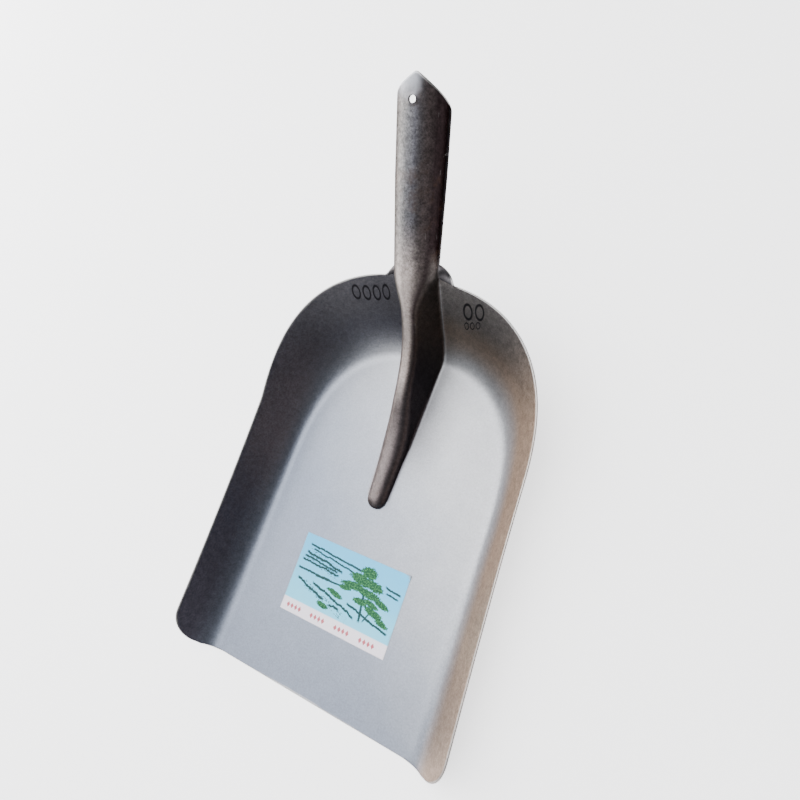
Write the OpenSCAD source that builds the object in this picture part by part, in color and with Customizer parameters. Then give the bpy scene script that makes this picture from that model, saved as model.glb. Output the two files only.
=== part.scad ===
// Grain scoop shovel head: one steel pressing with a rolled handle socket, and a paper label.
// Millimetres. X is across the pan, +Y runs from the cutting edge to the socket, +Z is up.
// The origin is the middle of the flat floor's underside, on which the head rests.

/* [Pan] */
// Width across the rims at the cutting edge
pan_front_w = 274; // [230:1:330]
// Width across the rims where the shoulders start
pan_rear_w = 260; // [216:1:312]
// Length from the cutting edge to the back rim
pan_len = 368; // [307:1:442]
// Length of the rim's rounded shoulders, measured along the pan
shoulder_len = 134; // [112:1:160]
// Squareness of the shoulders in plan, where 2 is an ellipse
shoulder_power = 2.5; // [2:0.1:3.2]
// Width of the flat floor
floor_w = 198; // [165:1:212]
// Plan distance from the flat floor's rear end to the back rim
back_run = 52; // [43:1:62]
// Length of the floor's own rounded rear corners
floor_shoulder_len = 130; // [108:1:150]
// Height of the rim at the cutting edge
front_rim_h = 35; // [29:1:42]
// Height of the rim where the shoulders start
side_rim_h = 48; // [40:1:58]
// Height of the rim at the back
back_rim_h = 78; // [65:1:94]
// Share of a wall's plan width that the bend at its foot takes
bend_share = 0.55; // [0.4:0.05:0.8]
// Rounding of the two front corners, along the cutting edge
corner_x = 20; // [14:1:24]
// Rounding of the two front corners, along the sides
corner_y = 26; // [18:1:32]

/* [Sheet] */
// Thickness of the steel sheet
sheet_t = 1.5; // [1:0.1:2.2]

/* [Ridge] */
// Distance from the cutting edge to the ridge's nose
nose_y = 173; // [146:1:208]
// Half width of the hollow under the ridge at its nose
nose_half_w = 8; // [6.5:0.1:10]
// Height of the hollow under the ridge at its nose, before the crest starts to climb
nose_h = 3.5; // [3:0.5:5]
// Distance from the cutting edge to the knee where the crest turns up
knee_y = 252; // [225:1:270]
// Softness of that knee
knee_soft = 40; // [30:1:60]
// Radius under the crest at the ridge's waist, where it is sharpest
waist_r = 7; // [6:0.5:8]
// How far the crest sags at that waist
waist_sag = 8; // [0:0.5:10]
// Fillet between the ridge's flanks and the pan
flank_fillet = 5; // [4:0.5:7]

/* [Socket] */
// Angle between the socket's axis and the floor, in degrees
lift = 40.7; // [34:0.1:48]
// Bore of the socket, which is the handle's diameter with clearance
bore_d = 37.5; // [32:0.5:45]
// Length of the socket along its front, from the back rim to the peak
socket_len = 145; // [125:1:174]
// Length of the straight bore
bore_len = 30; // [25:1:36]
// How far the two slanting cuts fall from the peak at the front to the seam at the back
gable_drop = 39; // [32:1:44]
// Radius lost between the straight bore and the back rim
taper = 1.5; // [0:0.1:2.4]
// How much wider than the bore the mouth is, on the radius
mouth_relief = 0.3; // [0.25:0.05:0.5]
// How much the bore is reamed out of the rolled sheet, on the radius
ream = 0.15; // [0.1:0.05:0.3]
// Gap between the rolled edges at the back of the socket
seam_gap = 2.4; // [1.5:0.1:4]
// Distance above the back rim at which the rim's web has run into the socket's wall
neck_len = 9; // [7:0.5:11]
// How far round from the front the socket's wall reaches at that neck, in degrees
neck_reach = 118; // [105:1:140]
// Distance above the back rim at which the rolled edges come together at the back
seam_from = 46; // [38:1:55]
// Distance from the socket's wall to the point where the back rim starts to curl up
curl_reach = 14; // [10:1:18]
// Diameter of the hole for the handle's screw
screw_hole_d = 5.5; // [4.5:0.1:6.6]
// Distance from the peak down to the screw hole
screw_hole_drop = 17; // [14:1:20]

/* [Label] */
// Width of the label
label_w = 110; // [90:1:132]
// Height of the label
label_h = 72; // [60:1:86]
// Thickness of the label's paper
label_t = 0.15; // [0.1:0.05:0.3]
// Distance from the cutting edge to the label's lower edge
label_y = 58; // [50:1:70]

/* [Hidden] */

shoulder_y = pan_len - shoulder_len;
floor_len = pan_len - back_run;
origin_y = floor_len / 2;
bore_r = bore_d / 2;
mouth_r = bore_r + mouth_relief;
root_half_w = bore_r - taper;
bend_slope = 1 / (1 - bend_share / 2);
rim_flare = 1.5;
rim_rise = 1.2;
// Crest point at which the ridge becomes the socket
root_back = 13;
root_y = pan_len - root_back;
root_rim_x = root_half_w + sheet_t + curl_reach;

// Grid: points across half a section, and rows along the head
arc_n = 7;
fillet_n = 4;
out_n = 11;
half_n = arc_n + fillet_n + out_n;
front_rows = 8;
corner_rows = 5;
ridge_rows = 26;
neck_rows = 6;
curl_rows = 4;
gable_rows = 4;
bore_facets = 96;
hole_facets = 48;
// How the points and rows crowd together, where 1 is an even spread
out_spread = 1.25;
corner_spread = 2;
ridge_spread = 1.15;
neck_spread = 1.2;
// How early the web narrows above the back rim, and how late it turns round the socket
neck_haste = 1.3;
neck_lag = 1.5;
// Halvings when a level line or a flank's foot is looked for, and the deepest foot
level_halvings = 14;
foot_halvings = 16;
deepest_foot = 120;
// Where the ridge's waist starts and ends, from the knee and from the root
waist_in = 27;
waist_lead = 10;
waist_out = 25;
waist_past = 4;

function mix(a, b, t) = a + (b - a) * t;
function clamp01(t) = min(1, max(0, t));
function ease(t) = let (c = clamp01(t)) c * c * (3 - 2 * c);
function unit(v) = v / norm(v);
function running_sum(steps, start) =
  [for (i = 0, p = start; i < len(steps); p = p + steps[i], i = i + 1) p + steps[i]];

// ---- The pan as a height over its plan; t is 0 at the floor's edge and 1 at the rim ----
function rim_half_w(y) =
  pan_rear_w / 2 + (pan_front_w - pan_rear_w) / 2 * pow(clamp01(1 - y / shoulder_y), rim_flare);
function level_half_w(y, t) = mix(floor_w / 2, rim_half_w(y), t);
function level_y(t) = mix(floor_len - floor_shoulder_len, shoulder_y, t);
function level_len(t) = mix(floor_shoulder_len, shoulder_len, t);
function outside(x, y, t) =
  pow(abs(x) / level_half_w(y, t), shoulder_power)
  + pow(max(0, y - level_y(t)) / level_len(t), shoulder_power) > 1;
function level_at(x, y, lo = 0, hi = 1, n = level_halvings) =
  n == 0 ? (lo + hi) / 2
  : let (mid = (lo + hi) / 2)
    outside(x, y, mid) ? level_at(x, y, mid, hi, n - 1) : level_at(x, y, lo, mid, n - 1);
function wall_profile(t) =
  t < bend_share ? bend_slope * t * t / (2 * bend_share) : bend_slope * (t - bend_share / 2);
function side_height(y) =
  mix(front_rim_h, side_rim_h, pow(clamp01(y / shoulder_y), rim_rise));
function rim_height(y, t) =
  side_height(y) + (back_rim_h - side_rim_h) * clamp01((y - level_y(t)) / level_len(t));
function back_rim_y(x) =
  let (across = pow(abs(x) / (pan_rear_w / 2), shoulder_power))
  shoulder_y + shoulder_len * pow(max(0, 1 - across), 1 / shoulder_power);
function pan_z(x, y) =
  !outside(x, y, 0) ? 0
  : outside(x, y, 1) && y > shoulder_y
    ? rim_height(back_rim_y(x), 1) + (y - back_rim_y(x)) * tan(lift)
  : let (t = level_at(x, y)) rim_height(y, t) * wall_profile(t);

// ---- The rim's plan: front corner, side and shoulder ----
function corner_cut(y) =
  y < corner_y ? corner_x * (1 - sqrt(max(0, 1 - pow(1 - y / corner_y, 2)))) : 0;
last_turn = acos(pow(root_rim_x / (pan_rear_w / 2), shoulder_power / 2));
function shoulder_point(u) =
  let (
    a = last_turn * u,
    x = pan_rear_w / 2 * pow(cos(a), 2 / shoulder_power)
  )
  [x, back_rim_y(x)];
function rim_point(y) =
  y < shoulder_y
  ? [rim_half_w(y) - corner_cut(y), y]
  : shoulder_point((y - shoulder_y) / (root_y - shoulder_y));

// ---- The crest of the hollow under the ridge, which climbs to the socket's lift ----
function knee_share(y) =
  let (d = y - knee_y)
  (1 + d / norm([d, knee_soft])) / 2;
climb = tan(lift) / knee_share(root_y);
function crest_z(y) =
  let (d = y - knee_y)
  nose_h + climb * (d + norm([d, knee_soft])) / 2;
function crest_slope(y) = atan(climb * knee_share(y));
function crest_sag(y) =
  let (u = clamp01((y - knee_y - waist_lead) / (root_y - knee_y - waist_lead)))
  waist_sag * pow(sin(180 * u), 2);
function ridge_half_w(y) =
  mix(nose_half_w, root_half_w, clamp01((y - nose_y) / (root_y - nose_y)));
// 1 at the waist, where the crest is sharp, and 0 where the section is a plain arch
function waist_share(y) =
  ease((y - knee_y + waist_in) / (waist_in + waist_lead + knee_soft / 2))
  * (1 - ease((y - root_y + waist_out) / (waist_out + waist_past)));
function crest_r(y) = mix(ridge_half_w(y), waist_r, waist_share(y));
// 1 along the ridge, falling to 0 at the tip of its round nose
function nose_run(y) = clamp01(1 - (y - nose_y) / nose_half_w);

// A station is [crest point, slope, half width, crest radius]
function along(slope) = [0, cos(slope), sin(slope)];
function out_of(slope) = [0, -sin(slope), cos(slope)];
function ridge_station(y) =
  let (slope = crest_slope(y))
  [[0, y, crest_z(y)] - crest_sag(y) * out_of(slope), slope, ridge_half_w(y), crest_r(y)];
root_station = ridge_station(root_y);
socket_axis = root_station[0] - root_half_w * out_of(lift);
function axis_at(s) = socket_axis + s * along(lift);
bore_end = socket_len - gable_drop;
straight_from = bore_end - bore_len;
ream_run = 1;
function socket_r(s) =
  mix(root_half_w, bore_r - ream, clamp01(s / (straight_from - ream_run)));

// ---- Half sections, from the crest outwards ----
function arc_angle(i) = 90 * i / (arc_n - 1);
function nose_arc(y, crest_h, w, v) =
  [for (i = [0:arc_n - 1])
    let (a = arc_angle(i))
    [w * sin(a), y, crest_h * sqrt(max(0, cos(a) * cos(a) - v * v))]];
function ridge_arc(station, lean) =
  let (c = station[0], n = out_of(station[1]), r = station[3], h = min(r, c[2]))
  [for (i = [0:arc_n - 1])
    let (a = arc_angle(i) * (1 - lean / 90))
    c + n * h * (cos(a) - 1) + [r * sin(a), 0, 0]];

// Lean of a flank that leaves the crest's arc tangentially and reaches its foot
function flank_lean(w, r, depth) = acos(r / norm([w, depth - r])) - atan2(depth - r, w);

// Distance down the flank, square to the crest, at which it meets the pan
function flank_drop(p, down, lo = 0, hi = deepest_foot, n = foot_halvings) =
  n == 0 ? (lo + hi) / 2
  : let (mid = (lo + hi) / 2, q = p + mid * down)
    q[2] < pan_z(q[0], q[1])
    ? flank_drop(p, down, lo, mid, n - 1)
    : flank_drop(p, down, mid, hi, n - 1);

function bend_points(a, b, c) =
  [for (i = [1:fillet_n])
    let (t = i / fillet_n)
    (1 - t) * (1 - t) * a + 2 * t * (1 - t) * b + t * t * c];

function pan_points(from, rim) =
  [for (i = [1:out_n])
    let (
      u = 1 - pow(1 - i / out_n, out_spread),
      q = mix([from[0], from[1]], rim, u)
    )
    [q[0], q[1], pan_z(q[0], q[1])]];

function pan_section(y) =
  let (
    station = ridge_station(max(y, nose_y)),
    w = station[2],
    v = y < nose_y ? 1 : nose_run(y),
    n = out_of(station[1]),
    top = station[0] + [w, 0, 0],
    depth = v > 0 ? 0 : flank_drop(top, -n),
    arc = v > 0
      ? nose_arc(y, station[0][2], w, v)
      : ridge_arc(station, flank_lean(w, station[3], max(depth, w))),
    side = arc[arc_n - 1],
    foot = v > 0 ? side : top - depth * n,
    rim = rim_point(y),
    outward = unit([rim[0] - foot[0], rim[1] - foot[1]]),
    r = flank_fillet,
    out = [foot[0] + r * outward[0], foot[1] + r * outward[1]],
    out3 = [out[0], out[1], pan_z(out[0], out[1])],
    drop = norm(foot - side),
    flank = drop > r ? foot + r * (side - foot) / drop : side
  )
  concat(
    arc,
    v > 0 ? [for (i = [1:fillet_n]) mix(side, out3, i / fillet_n)] : bend_points(flank, foot, out3),
    pan_points(out3, rim)
  );

root_section = pan_section(root_y);
strip_n = fillet_n + out_n;
root_strip = [for (i = [0:strip_n - 1]) root_section[arc_n + i] - root_section[arc_n + i - 1]];

// How far round from the front the wall reaches: to the neck's edge, then on to the back seam
function seam_angle(r) = 180 - asin(seam_gap / 2 / r);
function wall_reach(s) =
  mix(neck_reach, seam_angle(socket_r(s)), ease((s - neck_len) / (seam_from - neck_len)));

// The strip beyond the tube's side: the root's flange, curling round into the tube's back
function strip_steps(s) =
  let (
    climbed = clamp01(s / neck_len),
    narrowed = 1 - pow(1 - climbed, neck_haste),
    turned_share = pow(climbed, neck_lag),
    turn = (wall_reach(s) - 90) / strip_n,
    step = 2 * socket_r(s) * sin(turn / 2),
    x = [1, 0, 0],
    n = out_of(lift),
    f = along(lift)
  )
  [for (i = [0:strip_n - 1])
    let (
      d = root_strip[i],
      size = norm(d),
      lean = (d * f) / size,
      pan_turn = atan2(d * n, d * x),
      a = mix(pan_turn, -90 - turn * (i + 0.5), turned_share),
      k = mix(lean, 0, turned_share),
      c = sqrt(1 - k * k)
    )
    mix(size, step, narrowed) * (c * cos(a) * x + c * sin(a) * n + k * f)];

// Point on a circle round the socket's axis, where 0 degrees is the front
function on_circle(s, r, a) = axis_at(s) + r * (sin(a) * [1, 0, 0] + cos(a) * out_of(lift));
function socket_section(s) =
  let (
    w = ease(s / neck_len),
    from = axis_at(s) - socket_axis,
    arc = [for (i = [0:arc_n - 1])
      mix(root_section[i] + from, on_circle(s, socket_r(s), arc_angle(i)), w)]
  )
  concat(arc, running_sum(strip_steps(s), arc[arc_n - 1]));

// Above the straight bore each point climbs towards its own place on the slanting cuts
function gable_section(u) =
  let (turn = (seam_angle(mouth_r) - 90) / strip_n)
  [for (i = [0:half_n - 1])
    let (a = i < arc_n ? arc_angle(i) : 90 + turn * (i - arc_n + 1))
    on_circle(bore_end + u * gable_drop * (1 - a / 180), mouth_r, a)];

half_rows = concat(
  [for (i = [0:corner_rows]) pan_section(corner_y * pow(i / corner_rows, corner_spread))],
  [for (i = [1:front_rows]) pan_section(mix(corner_y, nose_y, i / (front_rows + 1)))],
  [for (i = [0:ridge_rows]) pan_section(mix(nose_y, root_y, pow(i / ridge_rows, ridge_spread)))],
  [for (i = [1:neck_rows]) socket_section(neck_len * pow(i / neck_rows, neck_spread))],
  [for (i = [1:curl_rows]) socket_section(mix(neck_len, seam_from, i / curl_rows))],
  [socket_section(straight_from - ream_run), socket_section(bore_end - ream_run)],
  [for (i = [0:gable_rows]) gable_section(i / gable_rows)]
);

function mirrored(p) = [-p[0], p[1], p[2]];
function whole_row(half) =
  concat([for (i = [half_n - 1:-1:1]) mirrored(half[i])], half);

// Four corners of one patch of a grid with n points a row, turned one way or the other
function patch(at, n) = [at, at + n, at + n + 1, at + 1];
function turned(face) = [face[0], face[3], face[2], face[1]];

module head_sheet() {
  rows = [for (half = half_rows) whole_row(half)];
  m = len(rows);
  n = len(rows[0]);
  normals = [for (i = [0:m - 1]) [for (j = [0:n - 1])
    unit(cross(
      rows[i][min(n - 1, j + 1)] - rows[i][max(0, j - 1)],
      rows[min(m - 1, i + 1)][j] - rows[max(0, i - 1)][j]
    ))]];
  under = [for (row = rows) each row];
  upper = [for (i = [0:m - 1]) for (j = [0:n - 1]) rows[i][j] + sheet_t * normals[i][j]];
  above = m * n;
  mouth = above - n;
  faces = concat(
    [for (i = [0:m - 2]) for (j = [0:n - 2]) turned(patch(i * n + j, n))],
    [for (i = [0:m - 2]) for (j = [0:n - 2]) patch(above + i * n + j, n)],
    [for (j = [0:n - 2]) [j, above + j, above + j + 1, j + 1]],
    [for (j = [mouth:mouth + n - 2]) [j + 1, above + j + 1, above + j, j]],
    [for (i = [0:n:mouth - n]) [i + n, above + i + n, above + i, i]],
    [for (i = [n - 1:n:mouth - 1]) [i, above + i, above + i + n, i + n]]
  );
  polyhedron(points = concat(under, upper), faces = faces, convexity = 8);
}

module on_socket(s) {
  translate(axis_at(s))
    rotate([lift - 90, 0, 0])
      children();
}

module shovel_head() {
  color("slategray")
    translate([0, -origin_y, 0])
      difference() {
        head_sheet();
        on_socket(straight_from)
          cylinder(r = bore_r, h = bore_len, $fn = bore_facets);
        on_socket(socket_len - screw_hole_drop)
          rotate([90, 0, 0])
            cylinder(d = screw_hole_d, h = bore_d, $fn = hole_facets);
      }
}

module paper_label() {
  color("lightskyblue")
    translate([-label_w / 2, label_y - origin_y, sheet_t])
      cube([label_w, label_h, label_t]);
}

shovel_head();
paper_label();
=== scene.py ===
"""A grain scoop's steel head, pressed from one sheet, with the paper label on its floor."""
import functools
import itertools
import logging
import math
from dataclasses import dataclass, field
from enum import Enum
from typing import Any, Optional, Sequence

import bpy
import numpy as np
from mathutils import Matrix, Vector


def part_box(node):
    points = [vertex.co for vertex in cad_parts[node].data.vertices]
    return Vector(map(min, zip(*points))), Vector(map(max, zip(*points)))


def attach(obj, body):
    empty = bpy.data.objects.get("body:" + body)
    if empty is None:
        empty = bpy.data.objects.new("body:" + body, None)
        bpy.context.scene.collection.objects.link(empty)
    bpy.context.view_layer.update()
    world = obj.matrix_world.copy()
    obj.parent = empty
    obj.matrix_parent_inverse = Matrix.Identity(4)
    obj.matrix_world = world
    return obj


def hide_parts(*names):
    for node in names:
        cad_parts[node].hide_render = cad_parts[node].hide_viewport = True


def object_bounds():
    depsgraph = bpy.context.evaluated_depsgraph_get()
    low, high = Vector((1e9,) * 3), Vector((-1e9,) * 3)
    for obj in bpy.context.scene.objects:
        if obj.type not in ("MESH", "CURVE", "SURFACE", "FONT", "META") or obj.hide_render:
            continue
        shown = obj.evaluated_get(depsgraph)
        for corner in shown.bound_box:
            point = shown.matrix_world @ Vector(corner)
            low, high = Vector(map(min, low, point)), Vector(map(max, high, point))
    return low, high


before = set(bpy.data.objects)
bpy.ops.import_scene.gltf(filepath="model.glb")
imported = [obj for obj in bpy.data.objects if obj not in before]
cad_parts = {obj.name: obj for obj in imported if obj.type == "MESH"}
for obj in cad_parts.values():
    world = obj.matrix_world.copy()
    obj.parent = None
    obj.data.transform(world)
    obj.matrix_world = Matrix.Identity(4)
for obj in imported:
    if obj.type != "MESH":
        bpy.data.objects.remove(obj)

LOG = logging.getLogger("grain_scoop")
MM = 0.001
CAD_BOX = [list(corner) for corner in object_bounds()]
ACROSS = np.array([1.0, 0.0, 0.0])
# How often each search halves its range, and how far the second one looks, in millimetres.
LEVEL_HALVINGS = 22
DROP_HALVINGS = 18
DROP_REACH = 120.0


class Body(Enum):
    """The rigid bodies that pieces ride on."""

    HEAD = "root"


class Slot(Enum):
    """The record's material slots."""

    STEEL = "steel"
    PAPER = "paper"


# ---------------------------------------------------------------------------
# Small helpers for curves and blends
# ---------------------------------------------------------------------------
def mix(low: Any, high: Any, share: Any) -> Any:
    """Blend from low to high by share."""
    return low + (high - low) * share


def clamp01(value: Any) -> Any:
    """Keep a value between 0 and 1."""
    return np.clip(value, 0.0, 1.0)


def ease(value: Any) -> Any:
    """Smooth step from 0 to 1."""
    share = clamp01(value)
    return share * share * (3.0 - 2.0 * share)


def unit(vectors: np.ndarray) -> np.ndarray:
    """Scale vectors in the last axis to length 1.

    Args:
        vectors: An array whose last axis holds x, y and z.

    Returns:
        The same directions, each of length 1.
    """
    lengths = np.linalg.norm(vectors, axis=-1, keepdims=True)
    return vectors / np.maximum(lengths, 1e-12)


# ---------------------------------------------------------------------------
# Shader maths
# ---------------------------------------------------------------------------
class Wire:
    """A value socket in a node tree that can be used in Python arithmetic."""

    def __init__(self, shop: "NodeShop", socket: bpy.types.NodeSocket) -> None:
        """Keep the tree's node maker and the socket that gives this value."""
        self.shop = shop
        self.socket = socket

    def _math(self, operation: str, *values: Any) -> "Wire":
        """Add one Math node.

        Args:
            operation: The Math node's operation.
            values: Wires or numbers for its inputs.

        Returns:
            The node's result.
        """
        return self.shop.math(operation, *values)

    def __add__(self, other: Any) -> "Wire":
        """Sum."""
        return self._math("ADD", self, other)

    __radd__ = __add__

    def __sub__(self, other: Any) -> "Wire":
        """Difference."""
        return self._math("SUBTRACT", self, other)

    def __rsub__(self, other: Any) -> "Wire":
        """Difference with this value taken away."""
        return self._math("SUBTRACT", other, self)

    def __mul__(self, other: Any) -> "Wire":
        """Product."""
        return self._math("MULTIPLY", self, other)

    __rmul__ = __mul__

    def __truediv__(self, other: Any) -> "Wire":
        """Quotient."""
        return self._math("DIVIDE", self, other)

    def __gt__(self, other: Any) -> "Wire":
        """Return 1 where this value is the larger."""
        return self._math("GREATER_THAN", self, other)

    def __lt__(self, other: Any) -> "Wire":
        """Return 1 where this value is the smaller."""
        return self._math("LESS_THAN", self, other)

    def __abs__(self) -> "Wire":
        """Distance from zero."""
        return self._math("ABSOLUTE", self)

    def most(self, other: Any) -> "Wire":
        """Return the larger of two values."""
        return self._math("MAXIMUM", self, other)

    def least(self, other: Any) -> "Wire":
        """Return the smaller of two values."""
        return self._math("MINIMUM", self, other)

    def step(self, low: float, high: float) -> "Wire":
        """Rise smoothly from 0 at low to 1 at high; falls where high is below low.

        Args:
            low: The value that gives 0.
            high: The value that gives 1.

        Returns:
            The smooth step.
        """
        node = self.shop.node(
            "ShaderNodeMapRange",
            {"interpolation_type": "SMOOTHSTEP", "clamp": True},
            {"Value": self, "From Min": low, "From Max": high},
        )
        return Wire(self.shop, node.outputs["Result"])

    def window(self, start: float, full: float, fade: float, end: float) -> "Wire":
        """Rise from 0 at start to 1 at full, and fall from 1 at fade to 0 at end."""
        return self.step(start, full) * self.step(end, fade)

    def within(self, half: float, soft: float) -> "Wire":
        """Return 1 where this value is within half of zero, with an edge soft to both sides."""
        return (abs(self) - half).step(soft, -soft)


def strongest(masks: Sequence[Wire]) -> Wire:
    """Return the largest of several masks."""
    return functools.reduce(Wire.most, masks)


class NodeShop:
    """Makes the nodes of one material."""

    def __init__(self, name: str) -> None:
        """Start an empty material.

        Args:
            name: The material's name.
        """
        self.material = bpy.data.materials.new(name)
        self.material.use_nodes = True
        self.tree = self.material.node_tree
        self.tree.nodes.clear()

    def node(
        self, kind: str, settings: Optional[dict] = None, inputs: Optional[dict] = None
    ) -> bpy.types.Node:
        """Make one node: its type, then its settings, then its inputs.

        Args:
            kind: The node's type.
            settings: Attributes of the node, set first. "stops" fills a colour ramp.
            inputs: Socket name or number to a Wire, a socket or a plain value.

        Returns:
            The node.
        """
        made = self.tree.nodes.new(kind)
        for key, value in (settings or {}).items():
            if key == "stops":
                self._fill_ramp(made.color_ramp, value)
            else:
                setattr(made, key, value)
        for key, value in (inputs or {}).items():
            target = made.inputs[key]
            if isinstance(value, Wire):
                self.tree.links.new(value.socket, target)
            elif isinstance(value, bpy.types.NodeSocket):
                self.tree.links.new(value, target)
            else:
                target.default_value = value
        return made

    @staticmethod
    def _fill_ramp(ramp: bpy.types.ColorRamp, stops: Sequence[tuple]) -> None:
        """Set a colour ramp's stops.

        Args:
            ramp: The ramp.
            stops: Pairs of a place from 0 to 1 and a colour.
        """
        while len(ramp.elements) < len(stops):
            ramp.elements.new(1.0)
        for element, (place, colour) in zip(ramp.elements, stops):
            element.position = place
            element.color = (*colour, 1.0)

    def math(self, operation: str, *values: Any) -> Wire:
        """Add a Math node.

        Args:
            operation: The node's operation.
            values: Wires or numbers.

        Returns:
            The result.
        """
        made = self.node("ShaderNodeMath", {"operation": operation}, dict(enumerate(values)))
        return Wire(self, made.outputs[0])

    def place(self) -> bpy.types.NodeSocket:
        """Give the point's place on the object, in metres."""
        return self.node("ShaderNodeTexCoord").outputs["Object"]

    def split(self, vector: bpy.types.NodeSocket) -> tuple[Wire, Wire, Wire]:
        """Split a vector into its three values."""
        made = self.node("ShaderNodeSeparateXYZ", {}, {0: vector})
        return tuple(Wire(self, made.outputs[i]) for i in range(3))

    def join(self, x: Any, y: Any, z: Any = 0.0) -> bpy.types.NodeSocket:
        """Join three values into a vector."""
        return self.node("ShaderNodeCombineXYZ", {}, {0: x, 1: y, 2: z}).outputs[0]

    def stretch(self, vector: bpy.types.NodeSocket, factors: Sequence[float]) -> bpy.types.NodeSocket:
        """Multiply a vector's three values by fixed factors."""
        made = self.node("ShaderNodeVectorMath", {"operation": "MULTIPLY"}, {0: vector, 1: factors})
        return made.outputs[0]

    def noise(
        self, vector: bpy.types.NodeSocket, scale: float, detail: float = 3.0, rough: float = 0.5
    ) -> Wire:
        """Give fractal noise between 0 and 1.

        Args:
            vector: Where to read the noise.
            scale: Features per metre.
            detail: Octaves.
            rough: Strength of each next octave.

        Returns:
            The noise value.
        """
        made = self.node(
            "ShaderNodeTexNoise", {}, {"Vector": vector, "Scale": scale, "Detail": detail, "Roughness": rough}
        )
        return Wire(self, made.outputs[0])

    def cells(self, vector: bpy.types.NodeSocket, scale: float) -> Wire:
        """Give the distance to the nearest of scattered points."""
        made = self.node("ShaderNodeTexVoronoi", {}, {"Vector": vector, "Scale": scale})
        return Wire(self, made.outputs["Distance"])

    def field(self, name: str) -> Wire:
        """Read a number that the mesh stores at each point."""
        made = self.node("ShaderNodeAttribute", {"attribute_name": name})
        return Wire(self, made.outputs["Fac"])

    def tint(self, share: Any, low: Any, high: Any, blend: str = "MIX") -> bpy.types.NodeSocket:
        """Mix two colours.

        Args:
            share: A Wire or number; 0 gives low and 1 gives high.
            low: Colour or colour socket.
            high: Colour or colour socket.
            blend: The Mix node's blend type.

        Returns:
            The mixed colour.
        """
        low, high = ((*value, 1.0) if isinstance(value, tuple) else value for value in (low, high))
        settings = {"data_type": "RGBA", "blend_type": blend}
        return self.node("ShaderNodeMix", settings, {0: share, 6: low, 7: high}).outputs[2]

    def ramp(self, value: Wire, stops: Sequence[tuple]) -> bpy.types.NodeSocket:
        """Look a value up in a ramp of colours."""
        return self.node("ShaderNodeValToRGB", {"stops": stops}, {0: value}).outputs[0]

    def bump(self, height: Wire, depth: float, strength: float = 1.0) -> bpy.types.NodeSocket:
        """Turn a height between 0 and 1 into a bumped normal.

        Args:
            height: The height.
            depth: Metres between height 0 and height 1.
            strength: The Bump node's strength.

        Returns:
            The normal.
        """
        made = self.node("ShaderNodeBump", {}, {"Strength": strength, "Distance": depth, "Height": height})
        return made.outputs[0]

    def finish(self, inputs: dict) -> bpy.types.Material:
        """Close the material with one Principled shader.

        Args:
            inputs: The shader's sockets.

        Returns:
            The material.
        """
        shader = self.node("ShaderNodeBsdfPrincipled", {}, inputs)
        self.node("ShaderNodeOutputMaterial", {}, {"Surface": shader.outputs[0]})
        return self.material


# ---------------------------------------------------------------------------
# Finishes
# ---------------------------------------------------------------------------
Colour = tuple[float, float, float]


@dataclass(frozen=True)
class StampRow:
    """One row of plain rings stamped into the sheet, in metres."""

    start: float
    height: float
    slope: float
    spacing: float
    tall: float
    count: float


@dataclass(frozen=True)
class SheetGuide:
    """What the steel's colours are worked out from: places, the mesh's stored numbers and noise."""

    shop: NodeShop
    place: bpy.types.NodeSocket
    x: Wire
    y: Wire
    wall: Wire
    ridge: Wire
    socket: Wire
    edge: Wire
    turn: Wire
    face: Wire
    cloud: Wire
    patch: Wire
    mottle: Wire
    grain: Wire

    @classmethod
    def read(cls, shop: NodeShop) -> "SheetGuide":
        """Read the sheet's numbers in one material.

        Args:
            shop: The material's node maker.

        Returns:
            The numbers.
        """
        place = shop.place()
        x, y, _ = shop.split(place)
        stored = {name: shop.field(name) for name in ("wall", "ridge", "socket", "edge", "turn", "face")}
        cloud = shop.noise(place, 9.0, 4.0, 0.6)
        patch = shop.noise(place, 48.0, 5.0, 0.65)
        mottle = shop.noise(place, 230.0, 3.0, 0.65)
        grain = shop.noise(place, 620.0, 3.0, 0.7)
        noises = {"cloud": cloud, "patch": patch, "mottle": mottle, "grain": grain}
        return cls(shop=shop, place=place, x=x, y=y, **stored, **noises)

    def on_tube(self) -> Wire:
        """Return 1 on the socket's tube and 0 on the pan and its ridge."""
        return self.socket.step(0.0, 0.1)


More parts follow.
